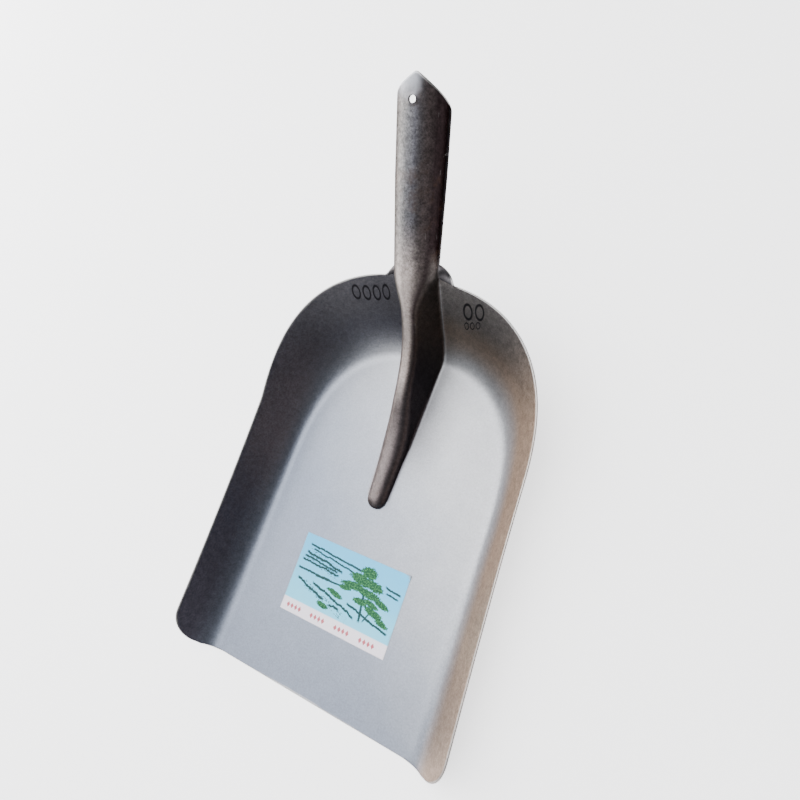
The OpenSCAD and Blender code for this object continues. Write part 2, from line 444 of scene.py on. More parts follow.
@dataclass(frozen=True)
class SpringSteel:
    """Rolled and hardened steel with mill grain, scuffs and worn edges, its colour carrying painted light and
    shade: the ridge and the socket lighter on the left and darker on the right, a left wall painted dark blue
    as shade, a right wall painted light brown as reflected light, a floor painted paler towards the right and
    back, a painted highlight on the socket's tip and painted shade inside the socket.
    """

    floor_cool: Colour = (0.204, 0.230, 0.286)
    # The pale end of the floor's painted reflection.
    floor_painted_reflection: Colour = (0.389, 0.396, 0.419)
    # Dark blue painted shade for the left wall.
    left_wall_painted_shade: Colour = (0.075, 0.071, 0.092)
    wall_slate: Colour = (0.150, 0.150, 0.178)
    # Light brown painted light for the right wall.
    right_wall_painted_light: Colour = (0.470, 0.350, 0.270)
    wall_low: Colour = (0.200, 0.185, 0.180)
    rear_left: Colour = (0.095, 0.092, 0.102)
    rear_right: Colour = (0.158, 0.146, 0.142)
    fold_shade: Colour = (0.040, 0.037, 0.042)
    # Dark brown painted shade for the upper right flank of the ridge.
    flank_painted_shade: Colour = (0.110, 0.096, 0.091)
    waist_brown: Colour = (0.500, 0.430, 0.400)
    tube_back: Colour = (0.095, 0.090, 0.095)
    # Bluish painted highlight for the socket's tip.
    tip_painted_highlight: Colour = (0.480, 0.500, 0.550)
    under: Colour = (0.090, 0.088, 0.095)
    worn: Colour = (0.476, 0.469, 0.462)
    # Soot for smudges and stamped rings, and also the painted shade inside the socket.
    soot_and_painted_shade: Colour = (0.020, 0.019, 0.022)
    rust: Colour = (0.136, 0.082, 0.051)
    edge_tint: tuple = (0.20, 0.18, 0.18, 1.0)
    # Painted light and shade on the ridge, from its lit left side, with a painted highlight line, to its
    # shaded right side.
    ridge_painted_shading: tuple = (
        (0.00, (0.210, 0.175, 0.165)),
        (0.16, (0.520, 0.440, 0.410)),
        (0.27, (0.350, 0.295, 0.280)),
        (0.38, (0.155, 0.132, 0.130)),
        (0.54, (0.115, 0.098, 0.098)),
        (0.72, (0.078, 0.068, 0.074)),
        (1.00, (0.055, 0.050, 0.058)),
    )
    # Painted light and shade round the socket, from its lit left side to its shaded right side.
    tube_painted_shading: tuple = (
        (0.00, (0.105, 0.098, 0.093)),
        (0.22, (0.150, 0.142, 0.136)),
        (0.34, (0.180, 0.172, 0.167)),
        (0.40, (0.158, 0.154, 0.155)),
        (0.46, (0.118, 0.117, 0.124)),
        (0.55, (0.074, 0.073, 0.084)),
        (0.62, (0.060, 0.055, 0.059)),
        (0.70, (0.090, 0.072, 0.072)),
        (0.80, (0.024, 0.017, 0.018)),
        (1.00, (0.003, 0.002, 0.002)),
    )
    stamps: tuple[StampRow, ...] = (
        StampRow(start=-0.0680, height=0.1911, slope=0.22, spacing=0.0094, tall=0.0100, count=4.0),
        StampRow(start=0.0385, height=0.195775, slope=-0.05, spacing=0.0118, tall=0.0105, count=2.0),
        StampRow(start=0.0390, height=0.1885, slope=0.0, spacing=0.0060, tall=0.0048, count=3.0),
    )
    ring_r: float = 0.34
    ring_half: float = 0.050
    dark_grey: float = 0.25
    grain_grey: float = 0.22
    bump_depth: float = 0.00022

    def pan_colour(self, at: SheetGuide) -> bpy.types.NodeSocket:
        """Colour the floor, the bend and the walls, with painted light and shade: a floor paler towards the
        right and back, a left wall painted dark blue as shade and a right wall painted light brown as
        reflected light.

        Args:
            at: The sheet's numbers.

        Returns:
            The colour.
        """
        shop = at.shop
        left, right = 1 - at.x.step(-0.03, 0.03), at.x.step(-0.03, 0.03)
        # Painted reflection: the floor grows paler towards the right and the back.
        pale = (at.x * 4.6 + at.y * 3.4 + at.cloud * 0.5).step(-0.10, 0.90)
        colour = shop.tint(pale, self.floor_cool, self.floor_painted_reflection)
        # Painted shade on the left wall and painted light on the right wall.
        left_wall = left * (at.wall + (at.cloud - 0.5) * 0.25).step(0.12, 0.72)
        right_wall = right * (at.wall + (at.cloud - 0.5) * 0.3).step(0.22, 0.66)
        colour = shop.tint(left_wall, colour, self.left_wall_painted_shade)
        colour = shop.tint(right_wall, colour, self.right_wall_painted_light)
        colour = shop.tint(right_wall * at.y.step(-0.06, -0.15) * 0.45, colour, self.wall_low)
        colour = shop.tint(left_wall * at.y.step(-0.04, 0.05) * 0.40, colour, self.wall_slate)
        rear = at.y.step(0.11, 0.19) * at.wall.step(0.30, 0.80)
        colour = shop.tint(rear * (1 - at.x.step(-0.02, 0.02)), colour, self.rear_left)
        colour = shop.tint(rear * at.x.step(-0.02, 0.02), colour, self.rear_right)
        beside = at.x.window(0.0, 0.01, 0.018, 0.056) * at.y.window(0.035, 0.09, 0.115, 0.160)
        return shop.tint(beside * 0.42, colour, self.fold_shade)

    def fold_colour(self, at: SheetGuide) -> bpy.types.NodeSocket:
        """Colour the ridge and the tube by how far round them a point lies, with painted light on their left
        sides and painted shade on their right sides.

        Args:
            at: The sheet's numbers.

        Returns:
            The colour.
        """
        shop = at.shop
        # Painted light and shade: lighter on the left of the ridge and the socket, darker on the right.
        round_it = (at.turn + 0.5).most(0.0).least(1.0)
        low, high = shop.ramp(round_it, self.ridge_painted_shading), shop.ramp(round_it, self.tube_painted_shading)
        colour = shop.tint(at.y.step(0.10, 0.20), low, high)
        waist = at.y.window(0.10, 0.15, 0.19, 0.235) * abs(at.turn + 0.02).step(0.30, 0.05)
        colour = shop.tint(waist * 0.75, colour, self.waist_brown)
        # Painted shade on the upper right flank of the ridge, dark brown rather than black.
        flank = at.turn.step(0.25, 0.42) * at.y.window(0.135, 0.190, 0.205, 0.225)
        colour = shop.tint(flank * 0.85, colour, self.flank_painted_shade)
        return shop.tint(abs(at.turn).step(0.46, 0.66), colour, self.tube_back)

    def skin(self, at: SheetGuide, colour: bpy.types.NodeSocket) -> bpy.types.NodeSocket:
        """Lay mottling, grain, smudges, rust and scuffs over a colour.

        Args:
            at: The sheet's numbers.
            colour: The colour below.

        Returns:
            The colour.
        """
        shop = at.shop
        rough_skin = 0.12 + 0.22 * at.wall.most(at.ridge * 0.9) + 0.22 * at.on_tube()
        for noise, dark, extra in ((at.mottle, self.dark_grey, 0.0), (at.grain, self.grain_grey, 0.08)):
            blotch = shop.tint(noise.step(0.25, 0.75), (dark,) * 3, (1 - dark,) * 3)
            colour = shop.tint(rough_skin + extra, colour, blotch, "OVERLAY")
        smudge = at.patch.step(0.60, 0.74) * (at.cloud + (at.wall - 0.4) * 0.4).step(0.42, 0.6)
        colour = shop.tint(smudge * 0.28, colour, self.soot_and_painted_shade)
        brown = shop.noise(at.place, 26.0, 4.0, 0.7).step(0.52, 0.70)
        colour = shop.tint(brown * at.on_tube().most(at.ridge * 0.5) * 0.22, colour, self.rust)
        scuff = shop.noise(shop.stretch(at.place, (6.0, 0.7, 0.7)), 90.0, 4.0, 0.75)
        return shop.tint(scuff.step(0.64, 0.80) * (0.25 + at.on_tube() * 0.25), colour, self.worn)

    def rings(self, at: SheetGuide, row: StampRow) -> Wire:
        """Stamp a row of plain rings.

        Args:
            at: The sheet's numbers.
            row: The row.

        Returns:
            1 in the stamped grooves.
        """
        across = (at.x - row.start) / row.spacing
        up = (at.y - row.height - (at.x - row.start) * row.slope) / row.tall
        off = at.shop.math("FRACT", across) - 0.5
        distance = at.shop.math("SQRT", off * off + up * up)
        groove = (abs(distance - self.ring_r) - self.ring_half).step(0.04, -0.02)
        return groove * (across > 0.0) * (across < row.count)

    def material(self) -> bpy.types.Material:
        """Make the steel's material.

        Returns:
            The material.
        """
        shop = NodeShop("spring_steel")
        at = SheetGuide.read(shop)
        colour = shop.tint(at.ridge.step(0.1, 0.9), self.pan_colour(at), self.fold_colour(at))
        colour = self.skin(at, colour)
        stamped = strongest([self.rings(at, row) for row in self.stamps]) * at.face
        colour = shop.tint(stamped, colour, self.soot_and_painted_shade)
        worn_edge = (at.edge + (at.patch - 0.5) * 0.25).step(0.13, 0.02)
        colour = shop.tint(worn_edge * 0.7, colour, self.worn)
        # Painted highlight on the left front of the socket's tip.
        tip = at.socket.step(0.86, 0.97) * at.turn.window(-0.42, -0.25, 0.02, 0.15)
        colour = shop.tint(tip * (0.30 + at.patch * 0.45), colour, self.tip_painted_highlight)
        inside = 1 - at.face
        colour = shop.tint(inside * (0.50 + at.patch * 0.4), colour, self.under)
        # Painted shade: the inside of the socket is darkened nearly to black.
        colour = shop.tint(inside * at.socket.step(0.0, 0.2) * 0.96, colour, self.soot_and_painted_shade)
        streak = shop.noise(shop.stretch(at.place, (1.0, 0.10, 0.10)), 420.0, 3.0, 0.7)
        rough = 0.36 + at.patch * 0.10 + at.mottle * 0.10 - worn_edge * 0.06 + at.wall * 0.03
        height = at.mottle * 0.45 + at.grain * 0.25 + streak * 0.3 - stamped * 1.2
        return shop.finish(
            {
                "Base Color": colour,
                "Metallic": 1.0,
                "Specular Tint": self.edge_tint,
                "Roughness": rough,
                "Normal": shop.bump(height, self.bump_depth, 0.55),
            }
        )


@dataclass(frozen=True)
class LabelGuide:
    """What the label's print is worked out from: shares of its width and height, and noise."""

    shop: NodeShop
    u: Wire
    v: Wire
    plane: bpy.types.NodeSocket
    fine: Wire
    broad: Wire

    @classmethod
    def read(cls, shop: NodeShop, low: np.ndarray, high: np.ndarray) -> "LabelGuide":
        """Read places on the label.

        Args:
            shop: The material's node maker.
            low: The label's low corner.
            high: The label's high corner.

        Returns:
            The numbers.
        """
        x, y, _ = shop.split(shop.place())
        u = (x - float(low[0])) / float(high[0] - low[0])
        v = (y - float(low[1])) / float(high[1] - low[1])
        plane = shop.join(u * 1.5, v, 0.0)
        fine, broad = shop.noise(plane, 38.0, 3.0, 0.7), shop.noise(plane, 6.0, 2.0, 0.5)
        return cls(shop=shop, u=u, v=v, plane=plane, fine=fine, broad=broad)


@dataclass(frozen=True)
class Blob:
    """One ragged oval of the label's picture, in shares of the label's width and height."""

    u: float
    v: float
    wide: float
    tall: float
    lean: float = 0.0

    def draw(self, at: LabelGuide, ragged: Wire) -> Wire:
        """Draw the oval.

        Args:
            at: Places on the label.
            ragged: Noise that frays its edge.

        Returns:
            1 inside the oval.
        """
        across = (at.u - self.u) / self.wide
        up = (at.v - self.v - (at.u - self.u) * self.lean) / self.tall
        return (across * across + up * up + ragged).step(1.05, 0.85)


@dataclass(frozen=True)
class Stroke:
    """One brush line of the label's picture, from left to right."""

    start: float
    end: float
    height: float
    slope: float
    wave: float
    weight: float

    def draw(self, at: LabelGuide, wave: Wire, gaps: Wire) -> Wire:
        """Draw the line.

        Args:
            at: Places on the label.
            wave: Noise that bends the line.
            gaps: Noise that thins it.

        Returns:
            1 on the line.
        """
        middle = self.height + (at.u - self.start) * self.slope + wave * self.wave
        on = abs(at.v - middle) - gaps * self.weight
        return on.step(0.006, 0.000) * at.u.window(self.start, self.start + 0.02, self.end - 0.02, self.end)


@dataclass(frozen=True)
class Scrub:
    """One sloping strip of scrub on the label's hills."""

    height: float
    slope: float
    half: float
    span: tuple[float, float, float, float]

    def draw(self, at: LabelGuide) -> Wire:
        """Return 1 inside the strip."""
        return (at.v - self.height - at.u * self.slope).within(self.half, 0.01) * at.u.window(*self.span)


@dataclass(frozen=True)
class Stem:
    """One bar of the label's tree."""

    foot: float
    lean: float
    fray: float
    half: float
    span: tuple[float, float, float, float]

    def draw(self, at: LabelGuide) -> Wire:
        """Return 1 inside the bar."""
        off = at.u - self.foot - (at.v - 0.3) * self.lean + (at.fine - 0.5) * self.fray
        return off.within(self.half, 0.004) * at.v.window(*self.span)


@dataclass(frozen=True)
class PrintedPaper:
    """Paper printed with a plain landscape, hills and a spreading tree, above a pale band."""

    sky: Colour = (0.120, 0.600, 1.000)
    haze: Colour = (0.200, 0.720, 1.000)
    band: Colour = (0.960, 0.900, 1.000)
    leaf: Colour = (0.006, 0.070, 0.030)
    leaf_light: Colour = (0.045, 0.230, 0.075)
    ink: Colour = (0.010, 0.050, 0.050)
    red: Colour = (0.480, 0.010, 0.030)
    dirt: Colour = (0.330, 0.320, 0.330)
    band_top: float = 0.165
    leaves: tuple[Blob, ...] = (
        Blob(0.66, 0.83, 0.075, 0.075),
        Blob(0.62, 0.72, 0.115, 0.065, -0.15),
        Blob(0.74, 0.71, 0.085, 0.060, -0.2),
        Blob(0.56, 0.62, 0.110, 0.050, 0.1),
        Blob(0.71, 0.60, 0.120, 0.050, -0.1),
        Blob(0.84, 0.55, 0.080, 0.040, -0.3),
        Blob(0.66, 0.48, 0.070, 0.040),
        Blob(0.80, 0.42, 0.095, 0.045, -0.3),
        Blob(0.43, 0.44, 0.080, 0.035, -0.3),
        Blob(0.36, 0.25, 0.060, 0.035, -0.2),
        Blob(0.50, 0.56, 0.060, 0.030, 0.1),
        Blob(0.76, 0.50, 0.070, 0.035, -0.3),
        Blob(0.89, 0.35, 0.065, 0.035, -0.3),
    )
    strokes: tuple[Stroke, ...] = (
        Stroke(0.06, 0.60, 0.88, -0.12, 0.06, 0.010),
        Stroke(0.10, 0.56, 0.83, -0.16, 0.07, 0.008),
        Stroke(0.05, 0.44, 0.78, -0.20, 0.10, 0.012),
        Stroke(0.04, 0.40, 0.73, -0.16, 0.10, 0.010),
        Stroke(0.03, 0.42, 0.68, -0.10, 0.08, 0.010),
        Stroke(0.02, 0.38, 0.56, -0.02, 0.03, 0.010),
        Stroke(0.20, 0.46, 0.54, 0.05, 0.03, 0.008),
        Stroke(0.05, 0.36, 0.44, -0.42, 0.06, 0.013),
        Stroke(0.20, 0.66, 0.46, -0.40, 0.09, 0.012),
        Stroke(0.55, 0.97, 0.40, -0.34, 0.06, 0.011),
        Stroke(0.40, 0.52, 0.30, -0.30, 0.10, 0.012),
        Stroke(0.82, 0.98, 0.76, -0.16, 0.08, 0.010),
        Stroke(0.84, 0.97, 0.70, -0.20, 0.08, 0.008),
    )
    scrub: tuple[Scrub, ...] = (
        Scrub(0.78, -0.30, 0.080, (0.05, 0.09, 0.34, 0.44)),
        Scrub(0.46, -0.42, 0.045, (0.12, 0.16, 0.55, 0.62)),
    )
    tree: tuple[Stem, ...] = (
        Stem(0.70, -0.10, 0.02, 0.011, (0.24, 0.28, 0.60, 0.66)),
        Stem(0.74, 0.28, 0.0, 0.007, (0.26, 0.30, 0.44, 0.50)),
    )
    mark_groups: float = 4.25
    marks_each: float = 6.2
    marks_start: float = 0.045
    marks_height: float = 0.082

    def lines(self, at: LabelGuide) -> Wire:
        """Draw the hills, the scrub on them and the tree's stems.

        Args:
            at: Places on the label.

        Returns:
            1 on the lines.
        """
        shop = at.shop
        drawn = []
        for number, line in enumerate(self.strokes):
            wave = shop.noise(shop.join(at.u * 5.0, 1.9 * number, 0.5), 1.7, 4.0, 0.7) - 0.5
            drawn.append(line.draw(at, wave, (at.fine * 2.6 - 0.3).most(0.0)))
        leaves = shop.cells(shop.stretch(at.plane, (1.0, 2.2, 1.0)), 34.0).step(0.42, 0.28)
        gaps = shop.noise(shop.join(at.u * 9.0, 3.7, 0.0), 1.6, 3.0, 0.65).step(0.35, 0.5)
        drawn.append(leaves * strongest([strip.draw(at) for strip in self.scrub]) * gaps)
        drawn += [stem.draw(at) for stem in self.tree]
        return strongest(drawn)

    def marks(self, at: LabelGuide) -> Wire:
        """Draw groups of plain diamonds along the lower band.

        Args:
            at: Places on the label.

        Returns:
            1 inside the diamonds.
        """
        group = at.shop.math("FRACT", (at.u - self.marks_start) * self.mark_groups)
        mark = at.shop.math("FRACT", group * self.marks_each)
        centre = abs(mark - 0.5) * 1.25 + abs(at.v - self.marks_height) * 14.0 + (at.fine - 0.5) * 0.35
        return centre.step(0.56, 0.44) * group.step(0.66, 0.64) * at.u.window(0.04, 0.05, 0.955, 0.965)

    def material(self, low: np.ndarray, high: np.ndarray) -> bpy.types.Material:
        """Make the printed paper's material.

        Args:
            low: The label's low corner.
            high: The label's high corner.

        Returns:
            The material.
        """
        shop = NodeShop("printed_paper")
        at = LabelGuide.read(shop, low, high)
        colour = shop.tint((at.v + at.broad * 0.3).step(0.3, 1.1), self.haze, self.sky)
        colour = shop.tint(self.lines(at), colour, self.ink)
        ragged = (at.fine - 0.5) * 2.6
        light = shop.noise(at.plane, 55.0, 2.0, 0.6).step(0.45, 0.62)
        leafy = strongest([shape.draw(at, ragged) for shape in self.leaves])
        colour = shop.tint(leafy, colour, shop.tint(light, self.leaf, self.leaf_light))
        on_band = at.v.step(self.band_top + 0.01, self.band_top - 0.01)
        colour = shop.tint(on_band, colour, self.band)
        colour = shop.tint(self.marks(at) * on_band * 0.85, colour, self.red)
        border = (abs(at.u - 0.5) * 2.0).most(abs(at.v - 0.5) * 2.0)
        dusty = (border + (at.broad - 0.5) * 0.06).step(0.975, 1.0)
        colour = shop.tint(dusty * 0.35, colour, self.dirt)
        corner = (at.u + at.v * 0.9 + (at.fine - 0.5) * 0.05).step(1.84, 1.89)
        colour = shop.tint(corner * 0.75, colour, self.dirt)
        return shop.finish(
            {
                "Base Color": colour,
                "Roughness": 0.46 + at.broad * 0.12,
                "Specular IOR Level": 0.2,
                "Normal": shop.bump(at.broad * 0.7 + at.fine * 0.3, 0.00025, 0.4),
            }
        )


@dataclass(frozen=True)
class PaleFloor:
    """The studio's plain pale floor, a sheet of opal plastic lit softly from below."""

    colour: Colour = (0.93, 0.93, 0.94)
    shade: Colour = (0.88, 0.88, 0.90)
    glow: float = 1.9

    def material(self) -> bpy.types.Material:
        """Make the floor's material.

        Returns:
            The material.
        """
        shop = NodeShop("pale_floor")
        soft = shop.noise(shop.place(), 3.0, 2.0)
        colour = shop.tint(soft * 0.04, self.colour, self.shade)
        lit = (*self.colour, 1.0)
        return shop.finish(
            {"Base Color": colour, "Roughness": 0.8, "Emission Color": lit, "Emission Strength": self.glow}
        )


# ---------------------------------------------------------------------------
# The pressed head
# ---------------------------------------------------------------------------
@dataclass
class PanForm:
    """The pan as a height over its plan, in millimetres from the cutting edge.

    Level lines run round the pan, from 0 where the flat floor ends to 1 at the rim.
    """

    front_w: float = 274.0
    rear_w: float = 260.0
    length: float = 368.0
    shoulder_len: float = 134.0
    shoulder_power: float = 2.5
    floor_w: float = 198.0
    back_run: float = 52.0
    floor_shoulder_len: float = 130.0
    front_rim_h: float = 35.0
    side_rim_h: float = 48.0
    back_rim_h: float = 78.0
    bend_share: float = 0.55
    corner_x: float = 20.0
    corner_y: float = 26.0
    lift: float = 40.7

    @property
    def shoulder_y(self) -> float:
        """Where the shoulders start."""
        return self.length - self.shoulder_len

    @property
    def floor_len(self) -> float:
        """Length of the flat floor."""
        return self.length - self.back_run

    def rim_half_w(self, y: Any) -> Any:
        """Half the width across the rims at y."""
        flare = clamp01(1 - y / self.shoulder_y) ** 1.5
        return self.rear_w / 2 + (self.front_w - self.rear_w) / 2 * flare

    def outside(self, x: Any, y: Any, t: Any) -> Any:
        """Tell whether plan points lie outside a level line.

        Args:
            x: Distances across the pan.
            y: Distances from the cutting edge.
            t: The level line.

        Returns:
            True for each point outside it.
        """
        half_w = mix(self.floor_w / 2, self.rim_half_w(y), t)
        start = mix(self.floor_len - self.floor_shoulder_len, self.shoulder_y, t)
        run = mix(self.floor_shoulder_len, self.shoulder_len, t)
        p = self.shoulder_power
        return (np.abs(x) / half_w) ** p + (np.maximum(0, y - start) / run) ** p > 1

    def level(self, x: Any, y: Any) -> np.ndarray:
        """Find the level line through plan points: 0 at the floor's edge, 1 at the rim.

        Args:
            x: Distances across the pan.
            y: Distances from the cutting edge.

        Returns:
            The level of each point.
        """
        x, y = np.broadcast_arrays(np.asarray(x, float), np.asarray(y, float))
        low, high = np.zeros(x.shape), np.ones(x.shape)
        for _ in range(LEVEL_HALVINGS):
            middle = (low + high) / 2
            out = self.outside(x, y, middle)
            low = np.where(out, middle, low)
            high = np.where(out, high, middle)
        return (low + high) / 2

    def profile(self, t: Any) -> Any:
        """Shape the wall: a bend, then a straight slope.

        Args:
            t: The level line.

        Returns:
            The share of the rim's height there.
        """
        slope = 1 / (1 - self.bend_share / 2)
        bend = slope * t * t / (2 * self.bend_share)
        return np.where(t < self.bend_share, bend, slope * (t - self.bend_share / 2))

    def rim_height(self, y: Any, t: Any) -> Any:
        """Find the height of the rim that belongs to a point.

        Args:
            y: Distances from the cutting edge.
            t: The level line.

        Returns:
            The rim's height.
        """
        side = mix(self.front_rim_h, self.side_rim_h, clamp01(y / self.shoulder_y) ** 1.2)
        start = mix(self.floor_len - self.floor_shoulder_len, self.shoulder_y, t)
        run = mix(self.floor_shoulder_len, self.shoulder_len, t)
        return side + (self.back_rim_h - self.side_rim_h) * clamp01((y - start) / run)

    def back_rim_y(self, x: Any) -> Any:
        """Find where the back rim is.

        Args:
            x: Distances across the pan.

        Returns:
            Distances from the cutting edge.
        """
        p = self.shoulder_power
        inner = np.maximum(0, 1 - (np.abs(x) / (self.rear_w / 2)) ** p)
        return self.shoulder_y + self.shoulder_len * inner ** (1 / p)

    def height(self, x: Any, y: Any) -> np.ndarray:
        """Height of the pan's underside.

        Args:
            x: Distances across the pan.
            y: Distances from the cutting edge.

        Returns:
            The heights.
        """
        x, y = np.broadcast_arrays(np.asarray(x, float), np.asarray(y, float))
        t = self.level(x, y)
        wall = self.rim_height(y, t) * self.profile(t)
        rim_y = self.back_rim_y(x)
        past = self.rim_height(rim_y, 1.0) + (y - rim_y) * math.tan(math.radians(self.lift))
        beyond = self.outside(x, y, 1.0) & (y > self.shoulder_y)
        return np.where(self.outside(x, y, 0.0), np.where(beyond, past, wall), 0.0)

    def rim_point(self, y: float, root_y: float, root_x: float) -> tuple[float, float]:
        """Give the rim's plan point that belongs to the section at y.

        Args:
            y: Where the section crosses the middle of the head.
            root_y: The last section before the socket.
            root_x: Half width of the rim at that section.

        Returns:
            The rim point's x and y.
        """
        if y < self.shoulder_y:
            cut = 0.0
            if y < self.corner_y:
                cut = self.corner_x * (1 - math.sqrt(max(0.0, 1 - (1 - y / self.corner_y) ** 2)))
            return float(self.rim_half_w(y)) - cut, y
        half = self.rear_w / 2
        last = math.acos((root_x / half) ** (self.shoulder_power / 2))
        turn = last * (y - self.shoulder_y) / (root_y - self.shoulder_y)
        x = half * math.cos(turn) ** (2 / self.shoulder_power)
        return x, float(self.back_rim_y(x))


@dataclass
class HeadForm:
    """The whole sheet: pan, central ridge and rolled socket, in millimetres from the cutting edge.

    The ridge starts at the nose, steepens at the knee and is narrowest at the waist. At the root it
    becomes the socket. Between the root and the end of the neck the back rim's web narrows and curls
    under: a haste over 1 narrows it sooner on the right or the left side, and a lag over 1 turns it
    later. From there the wall closes round to the seam behind, and the gable stands above the bore.
    """

    pan: PanForm = field(default_factory=PanForm)
    sheet_t: float = 1.5
    nose_y: float = 173.0
    nose_half_w: float = 8.0
    nose_h: float = 3.5
    knee_y: float = 252.0
    knee_soft: float = 40.0
    waist_r: float = 7.0
    waist_sag: float = 8.0
    sag_after: float = 10.0
    narrow_before: float = 27.0
    narrow_after: float = 10.0
    widen_before: float = 25.0
    widen_after: float = 4.0
    flank_fillet: float = 5.0
    bore_r: float = 18.75
    taper: float = 1.5
    socket_len: float = 145.0
    gable_drop: float = 39.0
    bore_len: float = 30.0
    seam_gap: float = 2.4
    neck_len: float = 9.0
    neck_reach: float = 118.0
    neck_haste: float = 1.3
    left_haste: float = 3.5
    neck_lag: float = 1.5
    seam_from: float = 46.0
    curl_reach: float = 14.0
    peak_turn: float = 7.0
    hole_r: float = 2.75
    hole_drop: float = 17.0
    burr_h: float = 0.55
    edge_bulge: float = 0.45
    arc_n: int = 19
    fillet_n: int = 12
    out_n: int = 33
    root_back: float = 13.0

    def __post_init__(self) -> None:
        """Work out the root, where the ridge becomes the socket."""
        self.root_y = self.pan.length - self.root_back
        self.root_half_w = self.bore_r - self.taper
        self.root_rim_x = self.root_half_w + self.sheet_t + self.curl_reach
        self.climb = math.tan(math.radians(self.pan.lift)) / self.knee_share(self.root_y)
        self.bore_end = self.socket_len - self.gable_drop
        self.straight_from = self.bore_end - self.bore_len
        self.strip_n = self.fillet_n + self.out_n
        self.half_n = self.arc_n + self.strip_n
        root = np.array([0.0, self.root_y, self.crest_z(self.root_y)])
        self.axis_start = root - self.root_half_w * self.out_of(self.pan.lift)
        section, _ = self.pan_section(self.root_y)
        self.root_arc = section[: self.arc_n] - self.axis_start
        self.root_strip = np.diff(section[self.arc_n - 1 :], axis=0)

    @staticmethod
    def along(slope: float) -> np.ndarray:
        """Direction up a slope, in degrees."""
        a = math.radians(slope)
        return np.array([0.0, math.cos(a), math.sin(a)])

    @staticmethod
    def out_of(slope: float) -> np.ndarray:
        """Direction square to a slope, in degrees, away from the floor."""
        a = math.radians(slope)
        return np.array([0.0, -math.sin(a), math.cos(a)])

    def knee_share(self, y: float) -> float:
        """Share of the full climb that the crest has reached at y."""
        d = y - self.knee_y
        return (1 + d / math.hypot(d, self.knee_soft)) / 2

    def crest_z(self, y: float) -> float:
        """Height of the hollow under the crest at y, before the waist's sag."""
        d = y - self.knee_y
        return self.nose_h + self.climb * (d + math.hypot(d, self.knee_soft)) / 2

    def crest_slope(self, y: float) -> float:
        """Slope of the crest at y, in degrees."""
        return math.degrees(math.atan(self.climb * self.knee_share(y)))

    def ridge_half_w(self, y: float) -> float:
        """Half width of the hollow under the ridge at y."""
        share = clamp01((y - self.nose_y) / (self.root_y - self.nose_y))
        return float(mix(self.nose_half_w, self.root_half_w, share))

    def crest_sag(self, y: float) -> float:
        """Find how far the crest sags.

        Args:
            y: Distance from the cutting edge.

        Returns:
            The sag in millimetres.
        """
        start = self.knee_y + self.sag_after
        share = float(clamp01((y - start) / (self.root_y - start)))
        return self.waist_sag * math.sin(math.pi * share) ** 2

    def crest_r(self, y: float) -> float:
        """Find the radius under the crest, which is tighter at the waist.

        Args:
            y: Distance from the cutting edge.

        Returns:
            The radius in millimetres.
        """
        narrowing = self.narrow_before + self.narrow_after + self.knee_soft / 2
        rise = ease((y - self.knee_y + self.narrow_before) / narrowing)
        fall = 1 - ease((y - self.root_y + self.widen_before) / (self.widen_before + self.widen_after))
        return float(mix(self.ridge_half_w(y), self.waist_r, rise * fall))

    def flank_drop(self, point: np.ndarray, down: np.ndarray) -> float:
        """Find how far a point is from the pan along a direction.

        Args:
            point: Where the search starts.
            down: Its direction.

        Returns:
            The distance.
        """
        low, high = 0.0, DROP_REACH
        for _ in range(DROP_HALVINGS):
            middle = (low + high) / 2
            q = point + middle * down
            if q[2] < float(self.pan.height(q[0], q[1])):
                high = middle
            else:
                low = middle
        return (low + high) / 2

    def ridge_arc(self, y: float, nose: float) -> tuple[np.ndarray, np.ndarray]:
        """Make half the ridge's section, from its crest to its flank.

        Args:
            y: Where the section crosses the middle of the head.
            nose: 1 in front of the ridge, 0 behind its rounded nose.

        Returns:
            The points, and the foot that the flank runs down to.
        """
        at = max(y, self.nose_y)
        w, slope = self.ridge_half_w(at), self.crest_slope(at)
        n = self.out_of(slope)
        crest = np.array([0.0, at, self.crest_z(at)]) - self.crest_sag(at) * n
        r = self.crest_r(at)
        angle = np.radians(np.linspace(0, 90, self.arc_n))
        if nose > 0:
            lift = crest[2] * np.sqrt(np.maximum(0, np.cos(angle) ** 2 - nose * nose))
            arc = np.stack([w * np.sin(angle), np.full(self.arc_n, y), lift], axis=1)
            return arc, arc[-1]
        top = crest + np.array([w, 0, 0])
        depth = self.flank_drop(top, -n)
        d = max(depth, w) - r
        lean = math.acos(r / math.hypot(w, d)) - math.atan2(d, w)
        angle = angle * (1 - lean / (math.pi / 2))
        h = min(r, crest[2])
        arc = crest + np.outer(h * (np.cos(angle) - 1), n) + np.outer(r * np.sin(angle), ACROSS)
        return arc, top - depth * n

